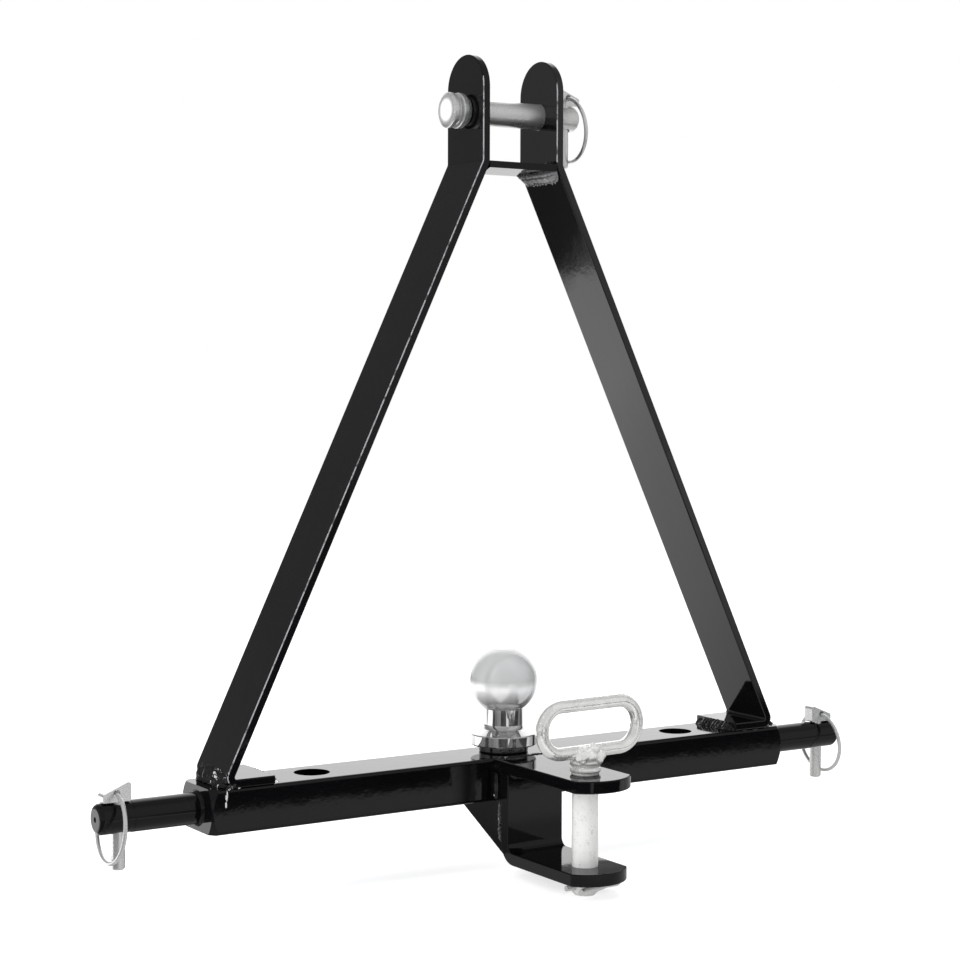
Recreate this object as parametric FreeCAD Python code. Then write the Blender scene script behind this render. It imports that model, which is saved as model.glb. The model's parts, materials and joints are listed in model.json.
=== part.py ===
import FreeCAD, Part
import math
import os

from FreeCAD import Vector

os.makedirs("parts", exist_ok=True)

# Three-point drawbar with a tow ball and a clevis, in millimetres.
# Origin: middle of the lower hitch pins' common axis, which runs along the crossbar.
# +X to the right along the crossbar, +Z up, and -Y towards the trailer.

# Crossbar, a solid rectangular bar with turned ends
bar_length = 508.0
bar_depth = 50.0
bar_height = 31.75
bar_edge_radius = 2.5
bar_end_face_radius = 24.0
side_hole_diameter = 26.0
side_hole_spacing = 328.0

# Lower hitch pins, set into the bar's ends
lower_pin_diameter = 22.0
lower_pin_reach = 75.0
lower_pin_socket_depth = 45.0
lower_pin_tip_radius = 3.5
lower_pin_weld_leg = 2.2
lower_pin_root_relief = 0.4
lower_pin_lead_relief = 0.25
lower_pin_lead_start = 3.25
lower_linch_edge = 16.5
centre_drill_diameter = 4.0
centre_drill_depth = 3.0

# Mast braces, bent from flat bar
flat_width = 50.0
flat_thickness = 6.0
flat_edge_radius = 0.9
ear_gap = 59.0
mast_height = 493.5
ear_crown_rise = 41.5
ear_bend_drop = 37.5
ear_bend_radius = 3.0
foot_inset = 7.0
foot_bend_radius = 1.6
foot_tab_reach = 41.0

# Spacer plate between the ears
spacer_thickness = 5.0
spacer_rise = 0.0

# Weld beads
spacer_weld_leg = 3.0
spacer_heavy_weld_leg = 5.5
tab_weld_leg = 6.0
foot_weld_toe = -2.0
foot_weld_rise = 11.5
weld_end_margin = 1.5
weld_bulge = 0.18

# Top link pin with its spool head
top_pin_diameter = 19.0
top_pin_tail_reach = 10.5
top_pin_tip_radius = 3.0
top_linch_setback = 16.0
spool_rim_diameter = 26.0
spool_groove_diameter = 19.5
spool_collar_diameter = 21.5
spool_rim_width = 4.6
spool_groove_width = 4.0
spool_collar_width = 3.2

# Linchpins and their spring rings
linch_diameter = 9.5
linch_length = 47.0
linch_tip_chamfer = 1.2
linch_head_thickness = 9.0
linch_head_inner = 8.0
linch_head_outer = 12.5
linch_head_tall = 13.8
linch_head_low = 5.5
linch_head_round = 2.0
eye_offset = 2.4
eye_rise = 6.0
ring_wire_diameter = 3.0
ring_outer_diameter = 51.0
ring_lean = 6.0

# Clevis: top plate, bent strap and two gussets
clevis_width = 49.0
clevis_thickness = 9.0
clevis_gap = 57.5
clevis_pin_setback = 81.5
upper_tip_radius = 32.5
lower_tip_radius = 30.0
plate_edge_radius = 0.8
clevis_throat = 63.5
strap_bend_radius = 6.0
gusset_thickness = 6.5
gusset_inset = 1.5
gusset_rear_margin = 3.0
gusset_heel = 9.3
gusset_toe_rise = 2.0

# Clevis welds
clevis_side_weld_leg = 6.0
clevis_front_weld_leg = 4.5
clevis_root_weld_leg = 4.0
clevis_seam_width = 5.0
clevis_seam_rise = 0.7

# Drawbar pin with its welded oval handle
drawbar_pin_diameter = 19.0
drawbar_pin_neck = 10.4
handle_root_gap = 0.6
drawbar_pin_tail = 6.0
drawbar_pin_chamfer = 2.0
handle_bar_diameter = 9.5
handle_length = 96.0
handle_height = 43.5
handle_turn = 3.0
handle_offset = 4.2
handle_weld_diameter = 23.0
handle_weld_height = 14.5
handle_collar_diameter = 21.6
handle_collar_height = 7.6
pin_washer_diameter = 32.0
pin_washer_thickness = 3.0

# Spring clip under the clevis
clip_wire_diameter = 4.0
clip_leg_tail = 17.0
clip_leg_head = 26.0
clip_loop_width = 8.0
clip_flare = 3.0

# Tow ball and its fastening
ball_diameter = 50.8
ball_flat_diameter = 14.0
ball_rise = 48.0
ball_neck_diameter = 29.6
ball_neck_fillet = 4.0
ball_flange_diameter = 50.0
ball_flange_rim = 8.5
ball_flange_cone = 3.0
ball_flange_land = 4.0
ball_stud_diameter = 19.0
ball_stud_tail = 4.5
lock_washer_diameter = 37.4
lock_washer_thickness = 5.2
lock_washer_split = 1.6
flat_washer_diameter = 32.0
flat_washer_thickness = 3.0
nut_across_flats = 28.6
nut_height = 16.4

# Clearances, all radial or face to face
press_gap = 0.05
pin_hole_gap = 0.45
linch_hole_gap = 0.8
stud_hole_gap = 0.4
washer_hole_gap = 0.5
seat_gap = 0.3
eye_gap = 0.9
clip_gap = 0.4

# Places worked out from the sizes above
half_length = bar_length / 2
bar_front = -bar_depth / 2
bar_rear = bar_depth / 2
bar_top = bar_height / 2
bar_bottom = -bar_height / 2
lower_pin_root_radius = lower_pin_diameter / 2 - lower_pin_root_relief
lower_pin_tip = half_length + lower_pin_reach
lower_linch_x = lower_pin_tip - lower_linch_edge
linch_hole_radius = linch_diameter / 2 + linch_hole_gap
lower_seat_start = half_length + lower_pin_weld_leg
lower_seat_end = lower_linch_x - linch_hole_radius - lower_pin_lead_start
ear_inner = ear_gap / 2
ear_outer = ear_inner + flat_thickness
ear_bend_height = mast_height - ear_bend_drop
spacer_top_height = ear_bend_height + spacer_rise
top_linch_x = ear_outer + top_linch_setback
top_pin_tip = top_linch_x + top_pin_tail_reach
foot_corner = half_length - foot_inset
leg_lean = math.atan2(foot_corner - ear_outer, ear_bend_height - bar_top)
tab_end = foot_corner - foot_tab_reach
clevis_pin_y = bar_front - clevis_pin_setback
upper_plate_bottom = bar_top - clevis_thickness
lower_arm_top = upper_plate_bottom - clevis_gap
lower_arm_bottom = lower_arm_top - clevis_thickness
web_front = clevis_pin_y + clevis_throat
web_rear = web_front + clevis_thickness
flange_bottom = bar_top + lock_washer_thickness
ball_centre_height = flange_bottom + ball_rise

ORIGIN = Vector(0, 0, 0)
AXIS_X = Vector(1, 0, 0)
AXIS_Y = Vector(0, 1, 0)
AXIS_Z = Vector(0, 0, 1)


def save(name, shape):
    """Write one sub-part and report its solids and volume."""
    shape.exportStep("parts/" + name + ".step")
    print(name, len(shape.Solids), "solids", round(shape.Volume / 1000.0, 2), "cm3")


def rounded_edges(corners, closed=True):
    """Edges through corner points, each (Vector, radius), with an arc at every radius above zero."""
    count = len(corners)
    joints = []
    for index, (point, radius) in enumerate(corners):
        at_end = not closed and index in (0, count - 1)
        if radius <= 0 or at_end:
            joints.append((point, None, point))
            continue
        before = (corners[index - 1][0] - point).normalize()
        after = (corners[(index + 1) % count][0] - point).normalize()
        half = before.getAngle(after) / 2
        reach = radius / math.tan(half)
        bisector = (before + after).normalize()
        middle = point + bisector * (radius / math.sin(half) - radius)
        joints.append((point + before * reach, middle, point + after * reach))
    edges = []
    for index, (start, middle, end) in enumerate(joints):
        if middle is not None:
            edges.append(Part.Arc(start, middle, end).toShape())
        if not closed and index == count - 1:
            break
        following = joints[(index + 1) % count][0]
        if end.distanceToPoint(following) > 1e-6:
            edges.append(Part.makeLine(end, following))
    return edges


def rounded_face(corners):
    """Flat face inside a closed outline of corner points and radii."""
    return Part.Face(Part.Wire(rounded_edges(corners)))


def side_profile(points, low_x, high_x):
    """Solid whose outline (y, z, radius) is drawn in the YZ plane and extruded along X."""
    corners = [(Vector(low_x, y, z), radius) for y, z, radius in points]
    return rounded_face(corners).extrude(Vector(high_x - low_x, 0, 0))


def front_profile(points, low_y, high_y):
    """Solid whose outline (x, z, radius) is drawn in the XZ plane and extruded along Y."""
    corners = [(Vector(x, low_y, z), radius) for x, z, radius in points]
    return rounded_face(corners).extrude(Vector(0, high_y - low_y, 0))


def turned_x(points):
    """Solid turned about the X axis from an outline of (x, radius, corner radius)."""
    corners = [(Vector(x, 0, height), radius) for x, height, radius in points]
    return rounded_face(corners).revolve(ORIGIN, AXIS_X, 360)


def turned_z(points):
    """Solid turned about the Z axis from an outline of (radius, z, corner radius)."""
    corners = [(Vector(distance, 0, z), radius) for distance, z, radius in points]
    return rounded_face(corners).revolve(ORIGIN, AXIS_Z, 360)


def drill(radius, start, end):
    """Cylinder between two points, used for pins and holes."""
    direction = end - start
    return Part.makeCylinder(radius, direction.Length, start, direction)


def mirror_left(shape):
    """Copy of a right-hand shape on the left of the drawbar."""
    return shape.mirror(ORIGIN, AXIS_X)


def bead(corner, along_a, along_b, run):
    """Fillet weld: a wedge on two legs with a slightly crowned face, run along one direction."""
    toe_a = corner + along_a
    toe_b = corner + along_b
    middle = (toe_a + toe_b) * 0.5
    crown = middle + (middle - corner) * weld_bulge
    outline = [
        Part.makeLine(corner, toe_a),
        Part.Arc(toe_a, crown, toe_b).toShape(),
        Part.makeLine(toe_b, corner),
    ]
    return Part.Face(Part.Wire(outline)).extrude(run)


def make_crossbar():
    """Solid bar with rounded long edges, turned ends and its holes."""
    half_depth = bar_depth / 2
    half_height = bar_height / 2
    section = [
        (-half_depth, -half_height, bar_edge_radius),
        (half_depth, -half_height, bar_edge_radius),
        (half_depth, half_height, bar_edge_radius),
        (-half_depth, half_height, bar_edge_radius),
    ]
    bar = side_profile(section, -half_length, half_length)
    corner_radius = math.hypot(half_depth, half_height)
    chamfer = corner_radius - bar_end_face_radius
    turned_ends = turned_x(
        [
            (-half_length, 0, 0),
            (-half_length, bar_end_face_radius, 0),
            (-half_length + chamfer, corner_radius, 0),
            (half_length - chamfer, corner_radius, 0),
            (half_length, bar_end_face_radius, 0),
            (half_length, 0, 0),
        ]
    )
    bar = bar.common(turned_ends)
    for side in (-1, 1):
        hole_x = side * side_hole_spacing / 2
        bar = bar.cut(drill(side_hole_diameter / 2, Vector(hole_x, 0, bar_bottom), Vector(hole_x, 0, bar_top)))
        mouth = Vector(side * half_length, 0, 0)
        socket_end = Vector(side * (half_length - lower_pin_socket_depth), 0, 0)
        bar = bar.cut(drill(lower_pin_root_radius + press_gap, mouth, socket_end))
    stud_hole = drill(ball_stud_diameter / 2 + stud_hole_gap, Vector(0, 0, bar_bottom), Vector(0, 0, bar_top))
    return bar.cut(stud_hole)


def make_lower_pin():
    """Right-hand hitch pin: thinner root in the bar, the link's seat, then a lead with the cross hole."""
    radius = lower_pin_diameter / 2
    root = half_length - lower_pin_socket_depth + press_gap
    lead_radius = radius - lower_pin_lead_relief
    drill_radius = centre_drill_diameter / 2
    pin = turned_x(
        [
            (root, 0, 0),
            (root, lower_pin_root_radius, 0),
            (lower_seat_start, lower_pin_root_radius, 0),
            (lower_seat_start, radius, 0),
            (lower_seat_end, radius, 0),
            (lower_seat_end + lower_pin_lead_relief, lead_radius, 0),
            (lower_pin_tip, lead_radius, lower_pin_tip_radius),
            (lower_pin_tip, drill_radius, 0),
            (lower_pin_tip - centre_drill_depth, 0, 0),
        ]
    )
    hole = drill(linch_hole_radius, Vector(lower_linch_x, 0, -radius), Vector(lower_linch_x, 0, radius))
    return pin.cut(hole)


def make_lower_pin_weld():
    """Fillet weld ring where the right-hand pin leaves the bar's end."""
    radius = lower_pin_root_radius
    corner = Vector(half_length, 0, radius)
    toe_along = Vector(half_length + lower_pin_weld_leg, 0, radius)
    toe_out = Vector(half_length, 0, radius + lower_pin_weld_leg)
    middle = (toe_along + toe_out) * 0.5
    crown = middle + (middle - corner) * weld_bulge
    outline = [
        Part.makeLine(corner, toe_along),
        Part.Arc(toe_along, crown, toe_out).toShape(),
        Part.makeLine(toe_out, corner),
    ]
    return Part.Face(Part.Wire(outline)).revolve(ORIGIN, AXIS_X, 360)


def brace_outline():
    """Outline of the right-hand brace in the XZ plane: ear, leg and foot tab."""
    ear_top = mast_height + ear_crown_rise
    thickness = flat_thickness
    inner_bend_height = ear_bend_height - thickness * math.tan(leg_lean / 2)
    drop = ear_bend_height - thickness * math.sin(leg_lean) - bar_top - thickness
    inner_foot = ear_outer - thickness * math.cos(leg_lean) + drop * math.tan(leg_lean)
    return [
        (ear_outer, ear_top, 0),
        (ear_outer, ear_bend_height, ear_bend_radius),
        (foot_corner, bar_top, foot_bend_radius + thickness),
        (tab_end, bar_top, 0),
        (tab_end, bar_top + thickness, 0),
        (inner_foot, bar_top + thickness, foot_bend_radius),
        (ear_inner, inner_bend_height, ear_bend_radius + thickness),
        (ear_inner, ear_top, 0),
    ]


def make_brace():
    """Right-hand mast brace with its crowned ear and the top pin's hole."""
    half_width = flat_width / 2
    brace = front_profile(brace_outline(), -half_width, half_width)
    crown_height = mast_height + ear_crown_rise - half_width
    crown_box = Part.makeBox(
        flat_thickness,
        flat_width,
        half_width,
        Vector(ear_inner, -half_width, crown_height),
    )
    crown_disc = drill(half_width, Vector(ear_inner, 0, crown_height), Vector(ear_outer, 0, crown_height))
    brace = brace.cut(crown_box.cut(crown_disc))
    long_edges = [edge for edge in brace.Edges if is_brace_rim(edge)]
    brace = brace.makeFillet(flat_edge_radius, long_edges)
    hole = drill(
        top_pin_diameter / 2 + pin_hole_gap,
        Vector(ear_inner, 0, mast_height),
        Vector(ear_outer, 0, mast_height),
    )
    return brace.cut(hole)


def is_brace_rim(edge):
    """True for the brace's long outline edges, which lie in its front and rear faces above the tab."""
    box = edge.BoundBox
    in_one_face = box.YLength < 1e-6 and abs(abs(box.YMin) - flat_width / 2) < 1e-6
    along_leg = box.ZLength > flat_width
    return in_one_face and along_leg


def make_spacer_plate():
    """Plate welded between the ears at their bend."""
    low = spacer_top_height - spacer_thickness
    half_width = flat_width / 2
    corner = Vector(-ear_inner, -half_width, low)
    return Part.makeBox(ear_gap, flat_width, spacer_thickness, corner)


def make_mast_welds(right_brace):
    """Four beads that hold the spacer plate to the ears; the one below its right end is heavier."""
    length = flat_width - 2 * weld_end_margin
    start_y = -length / 2
    run = Vector(0, length, 0)
    low = spacer_top_height - spacer_thickness
    upper = bead(
        Vector(ear_inner, start_y, spacer_top_height),
        Vector(-spacer_weld_leg, 0, 0),
        Vector(0, 0, spacer_weld_leg),
        run,
    )
    below = []
    for leg in (spacer_heavy_weld_leg, spacer_weld_leg):
        toe = Vector(leg * math.sin(leg_lean) * 2, 0, -leg)
        lower = bead(Vector(ear_inner, start_y, low), Vector(-leg, 0, 0), toe, run)
        below.append(lower.cut(right_brace))
    return Part.makeCompound([upper, mirror_left(upper), below[0], mirror_left(below[1])])


def make_foot_welds(right_brace):
    """Beads outside the bend of the right foot and across the end of its tab."""
    length = flat_width - 2 * weld_end_margin
    start_y = -length / 2
    toe = foot_corner + foot_weld_toe
    root = foot_corner - foot_bend_radius - 2 * flat_thickness
    crest_x = foot_corner - foot_weld_rise * math.tan(leg_lean)
    crest = Vector(crest_x, start_y, bar_top + foot_weld_rise)
    heel = Vector(root, start_y, bar_top)
    foot = Vector(toe, start_y, bar_top)
    crown = (crest + foot) * 0.5 + Vector(weld_bulge * foot_weld_rise / 2, 0, weld_bulge * foot_weld_rise / 2)
    outline = [
        Part.makeLine(heel, foot),
        Part.Arc(foot, crown, crest).toShape(),
        Part.makeLine(crest, heel),
    ]
    outer = Part.Face(Part.Wire(outline)).extrude(Vector(0, length, 0)).cut(right_brace)
    inner = bead(
        Vector(tab_end, start_y, bar_top),
        Vector(-tab_weld_leg, 0, 0),
        Vector(0, 0, tab_weld_leg),
        Vector(0, length, 0),
    )
    return Part.makeCompound([outer, inner])


def clevis_tip(tip_radius, z_low, z_high):
    """Body of a clevis plate in plan: straight sides and a tip rounded about the pin's axis."""
    half_width = clevis_width / 2
    tip = drill(tip_radius, Vector(0, clevis_pin_y, z_low), Vector(0, clevis_pin_y, z_high))
    sides = Part.makeBox(
        clevis_width,
        tip_radius + clevis_pin_setback,
        z_high - z_low,
        Vector(-half_width, clevis_pin_y - tip_radius, z_low),
    )
    behind = Part.makeBox(
        clevis_width,
        clevis_pin_setback,
        z_high - z_low,
        Vector(-half_width, clevis_pin_y, z_low),
    )
    return sides.common(tip.fuse(behind))


def clevis_pin_hole(z_low, z_high):
    """Hole for the drawbar pin."""
    radius = drawbar_pin_diameter / 2 + pin_hole_gap
    return drill(radius, Vector(0, clevis_pin_y, z_low), Vector(0, clevis_pin_y, z_high))


def is_plate_rim(edge):
    """True for the clevis plates' outer edges in front of the web and below the bar."""
    box = edge.BoundBox
    half_width = clevis_width / 2
    at_side = abs(abs(box.XMin) - half_width) < 1e-6 or abs(abs(box.XMax) - half_width) < 1e-6
    in_front = box.YMax < web_front + 1e-6 or box.ZLength < 1e-6
    return at_side and in_front and box.YMax < bar_front + 1e-6


def make_clevis_top_plate():
    """Flat plate flush with the bar's top, from the bar's front face to the rounded tip."""
    plate = clevis_tip(upper_tip_radius, upper_plate_bottom, bar_top)
    rims = [edge for edge in plate.Edges if is_plate_rim(edge) and edge.BoundBox.YLength > 1.0]
    plate = plate.makeFillet(plate_edge_radius, rims)
    return plate.cut(clevis_pin_hole(upper_plate_bottom, bar_top))


def is_strap_rim(edge):
    """True for the strap's outer edges, apart from its upright rear edges and its sheared ends."""
    box = edge.BoundBox
    half_width = clevis_width / 2
    at_side = abs(abs(box.XMin) - half_width) < 1e-6 or abs(abs(box.XMax) - half_width) < 1e-6
    upright_rear = abs(box.YMax - web_rear) < 1e-6 and box.YLength < 1e-6
    across_end = box.ZMin > upper_plate_bottom - 1e-6
    corner_of_tip = box.YLength < 1e-6 and box.YMax < clevis_pin_y
    return at_side and not (upright_rear or across_end or corner_of_tip)


def make_clevis_strap():
    """Strap bent from one flat: the upright web and the lower arm."""
    tip_y = clevis_pin_y - lower_tip_radius
    outer_radius = strap_bend_radius + clevis_thickness
    half_width = clevis_width / 2
    bent = side_profile(
        [
            (web_rear, upper_plate_bottom, 0),
            (web_rear, lower_arm_bottom, outer_radius),
            (tip_y, lower_arm_bottom, 0),
            (tip_y, lower_arm_top, 0),
            (web_front, lower_arm_top, strap_bend_radius),
            (web_front, upper_plate_bottom, 0),
        ],
        -half_width,
        half_width,
    )
    strap = bent.common(clevis_tip(lower_tip_radius, lower_arm_bottom, upper_plate_bottom))
    rims = [edge for edge in strap.Edges if is_strap_rim(edge)]
    strap = strap.makeFillet(plate_edge_radius, rims)
    return strap.cut(clevis_pin_hole(lower_arm_bottom, lower_arm_top))


def make_clevis_gusset(strap):
    """Right-hand gusset: from the bar's front face and underside to the strap's web and bend."""
    outer_x = clevis_width / 2 - gusset_inset
    rear = bar_rear - gusset_rear_margin
    blank = side_profile(
        [
            (bar_front, upper_plate_bottom, 0),
            (bar_front, bar_bottom, 0),
            (rear, bar_bottom, 0),
            (rear, bar_bottom - gusset_heel, 0),
            (web_front, lower_arm_bottom + gusset_toe_rise, 0),
            (web_front, upper_plate_bottom, 0),
        ],
        outer_x - gusset_thickness,
        outer_x,
    )
    return blank.cut(strap)


def make_clevis_welds(crossbar, gusset):
    """Upright beads beside the gussets, the bead under the top plate and the seam on the bar."""
    outer_x = clevis_width / 2 - gusset_inset
    web_low = lower_arm_bottom + strap_bend_radius + clevis_thickness
    side = bead(
        Vector(outer_x, web_rear, web_low),
        Vector(0, clevis_side_weld_leg, 0),
        Vector(gusset_inset, 0, 0),
        Vector(0, 0, bar_bottom - web_low),
    )
    front = bead(
        Vector(outer_x, bar_front, bar_bottom + bar_edge_radius),
        Vector(0, -clevis_front_weld_leg, 0),
        Vector(clevis_front_weld_leg, 0, 0),
        Vector(0, 0, upper_plate_bottom - bar_bottom - bar_edge_radius),
    )
    right = [side.cut(gusset), front.cut(crossbar)]
    root_length = clevis_width - 2 * weld_end_margin
    root = bead(
        Vector(-root_length / 2, web_front, upper_plate_bottom),
        Vector(0, -clevis_root_weld_leg, 0),
        Vector(0, 0, -clevis_root_weld_leg),
        Vector(root_length, 0, 0),
    )
    half_seam = clevis_seam_width / 2
    left_toe = Vector(-root_length / 2, bar_front - half_seam, bar_top)
    crest = Vector(-root_length / 2, bar_front, bar_top + clevis_seam_rise)
    right_toe = Vector(-root_length / 2, bar_front + half_seam, bar_top)
    bottom = Vector(-root_length / 2, bar_front, bar_top - bar_edge_radius)
    seam_outline = [
        Part.Arc(left_toe, crest, right_toe).toShape(),
        Part.makeLine(right_toe, bottom),
        Part.makeLine(bottom, left_toe),
    ]
    seam = Part.Face(Part.Wire(seam_outline)).extrude(Vector(root_length, 0, 0))
    seam = seam.cut(crossbar).cut(clevis_tip(upper_tip_radius, upper_plate_bottom, bar_top))
    return Part.makeCompound(right + [mirror_left(weld) for weld in right] + [root, seam])


def place_on_drawbar_pin(shape):
    """Turn a shape that was made about the Z axis with the handle and move it to the pin's axis."""
    turned = shape.rotated(ORIGIN, AXIS_Z, handle_turn)
    return turned.translated(Vector(0, clevis_pin_y, 0))


def drawbar_pin_levels():
    """Heights of the washer's underside, the clip's wire and the pin's end, from the arm down."""
    washer_bottom = lower_arm_bottom - seat_gap - pin_washer_thickness
    clip_height = washer_bottom - seat_gap - clip_wire_diameter / 2
    return washer_bottom, clip_height, clip_height - drawbar_pin_tail


def make_drawbar_pin():
    """Plain pin with a chamfered end and a cross hole for the clip."""
    radius = drawbar_pin_diameter / 2
    clip_height, pin_end = drawbar_pin_levels()[1:]
    pin = turned_z(
        [
            (0, pin_end, 0),
            (radius - drawbar_pin_chamfer, pin_end, 0),
            (radius, pin_end + drawbar_pin_chamfer, 0),
            (radius, bar_top + drawbar_pin_neck, 0),
            (0, bar_top + drawbar_pin_neck, 0),
        ]
    )
    hole = drill(
        clip_wire_diameter / 2 + clip_gap / 2,
        Vector(-radius, 0, clip_height),
        Vector(radius, 0, clip_height),
    )
    return place_on_drawbar_pin(pin.cut(hole))


def make_handle():
    """Oval handle of round bar standing off centre on the pin, turned a little from the crossbar."""
    bar_radius = handle_bar_diameter / 2
    bend_radius = handle_height / 2 - bar_radius
    straight = handle_length / 2 - bar_radius - bend_radius
    low = bar_top + drawbar_pin_neck + handle_root_gap + bar_radius
    middle = low + bend_radius
    pieces = []
    for level in (low, low + 2 * bend_radius):
        pieces.append(drill(bar_radius, Vector(-straight, 0, level), Vector(straight, 0, level)))
    for side in (-1, 1):
        centre = Vector(side * straight, 0, middle)
        bend = Part.makeTorus(bend_radius, bar_radius, ORIGIN, AXIS_Z, 0, 360, 180)
        bend.rotate(ORIGIN, AXIS_X, 90)
        bend.rotate(ORIGIN, AXIS_Y, 90 * side)
        pieces.append(bend.translated(centre))
    handle = pieces[0].multiFuse(pieces[1:]).removeSplitter()
    return place_on_drawbar_pin(handle.translated(Vector(handle_offset, 0, 0)))


def make_handle_weld(pin, handle):
    """Collar that rests on the clevis's top plate, with the lump of weld that joins pin and handle."""
    base = bar_top + seat_gap
    radius = handle_weld_diameter / 2
    collar = handle_collar_diameter / 2
    lump = turned_z(
        [
            (0, base, 0),
            (collar, base, 0.5),
            (collar, base + handle_collar_height, 0),
            (radius, base + handle_collar_height + 1.0, 0.5),
            (radius * 0.92, base + handle_weld_height, 3.0),
            (0, base + handle_weld_height, 0),
        ]
    )
    return place_on_drawbar_pin(lump).cut(pin).cut(handle)


def make_pin_washer():
    """Flat washer between the lower arm and the clip."""
    top = lower_arm_bottom - seat_gap
    inner = drawbar_pin_diameter / 2 + washer_hole_gap
    washer = turned_z(
        [
            (inner, top - pin_washer_thickness, 0),
            (pin_washer_diameter / 2, top - pin_washer_thickness, 0.6),
            (pin_washer_diameter / 2, top, 0.6),
            (inner, top, 0),
        ]
    )
    return place_on_drawbar_pin(washer)


def make_clip():
    """Hairpin clip: one leg through the pin, a loop, and a bow that passes in front of the pin."""
    level = drawbar_pin_levels()[1]
    wire = clip_wire_diameter / 2
    bow = drawbar_pin_diameter / 2 + wire + clip_gap
    tail = drawbar_pin_diameter / 2 + wire
    path_points = [
        (-clip_leg_tail, 0, 0),
        (clip_leg_head, 0, clip_loop_width / 2 - 0.1),
        (clip_leg_head, -clip_loop_width, clip_loop_width / 2 - 0.1),
        (tail + 1.5, -clip_loop_width, 8.0),
        (3.0, -bow, 10.0),
        (-tail + 2.0, -bow, 12.0),
        (-clip_leg_tail + 2.0, -bow - clip_flare, 0),
    ]
    corners = [(Vector(x, y, level), radius) for x, y, radius in path_points]
    path = Part.Wire(rounded_edges(corners, closed=False))
    section = Part.Wire(Part.makeCircle(wire, corners[0][0], AXIS_X))
    clip = path.makePipeShell([section], True, True)
    return place_on_drawbar_pin(clip)


def make_hitch_ball():
    """Ball, neck, coned flange and plain stud, turned in one piece."""
    ball_radius = ball_diameter / 2
    flat_radius = ball_flat_diameter / 2
    neck_radius = ball_neck_diameter / 2
    flange_radius = ball_flange_diameter / 2
    stud_radius = ball_stud_diameter / 2
    centre = ball_centre_height
    flat_height = centre + math.sqrt(ball_radius**2 - flat_radius**2)
    neck_join = centre - math.sqrt(ball_radius**2 - neck_radius**2)
    cone_base = flange_bottom + ball_flange_rim
    cone_top = cone_base + ball_flange_cone
    land_radius = neck_radius + ball_flange_land
    stud_end = bar_bottom - flat_washer_thickness - nut_height - ball_stud_tail
    top_edge = Vector(flat_radius, 0, flat_height)
    waist = Vector(neck_radius, 0, neck_join)
    equator = Vector(ball_radius, 0, centre)
    lower = rounded_edges(
        [
            (waist, 0),
            (Vector(neck_radius, 0, cone_top), ball_neck_fillet),
            (Vector(land_radius, 0, cone_top), 0),
            (Vector(flange_radius, 0, cone_base), 1.0),
            (Vector(flange_radius, 0, flange_bottom), 1.2),
            (Vector(stud_radius, 0, flange_bottom), 0),
            (Vector(stud_radius, 0, stud_end), 1.5),
            (Vector(0, 0, stud_end), 0),
        ],
        closed=False,
    )
    outline = [Part.makeLine(Vector(0, 0, flat_height), top_edge)]
    outline.append(Part.Arc(top_edge, equator, waist).toShape())
    outline += lower
    outline.append(Part.makeLine(Vector(0, 0, stud_end), Vector(0, 0, flat_height)))
    return Part.Face(Part.Wire(outline)).revolve(ORIGIN, AXIS_Z, 360)


def make_lock_washer():
    """Split spring washer between the bar and the ball's flange."""
    inner = ball_stud_diameter / 2 + washer_hole_gap
    outer = lock_washer_diameter / 2
    washer = turned_z(
        [
            (inner, bar_top, 0),
            (outer, bar_top, 1.4),
            (outer, flange_bottom, 1.4),
            (inner, flange_bottom, 0),
        ]
    )
    slot = Part.makeBox(lock_washer_split, outer * 2, lock_washer_thickness * 3)
    slot.translate(Vector(-lock_washer_split / 2, 0, bar_top - lock_washer_thickness))
    slot.rotate(Vector(0, 0, bar_top), AXIS_Y, 25)
    slot.rotate(ORIGIN, AXIS_Z, -35)
    return washer.cut(slot)


def make_flat_washer():
    """Flat washer under the bar."""
    inner = ball_stud_diameter / 2 + washer_hole_gap
    low = bar_bottom - flat_washer_thickness
    outer = flat_washer_diameter / 2
    return turned_z([(inner, low, 0), (outer, low, 0.5), (outer, bar_bottom, 0.5), (inner, bar_bottom, 0)])


def make_ball_nut():
    """Hex nut with chamfered corners, flats towards the gussets."""
    top = bar_bottom - flat_washer_thickness
    low = top - nut_height
    flat_radius = nut_across_flats / 2
    corner_radius = flat_radius / math.cos(math.pi / 6)
    corners = []
    for step in range(6):
        angle = math.radians(60 * step + 30)
        corners.append((Vector(corner_radius * math.cos(angle), corner_radius * math.sin(angle), low), 0))
    prism = rounded_face(corners).extrude(Vector(0, 0, nut_height))
    cone_drop = (corner_radius - flat_radius) * math.tan(math.radians(30))
    chamfers = turned_z(
        [
            (0, low, 0),
            (flat_radius, low, 0),
            (corner_radius, low + cone_drop, 0),
            (corner_radius, top - cone_drop, 0),
            (flat_radius, top, 0),
            (0, top, 0),
        ]
    )
    thread = drill(ball_stud_diameter / 2 + press_gap, Vector(0, 0, low), Vector(0, 0, top))
    return prism.common(chamfers).cut(thread)


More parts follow.
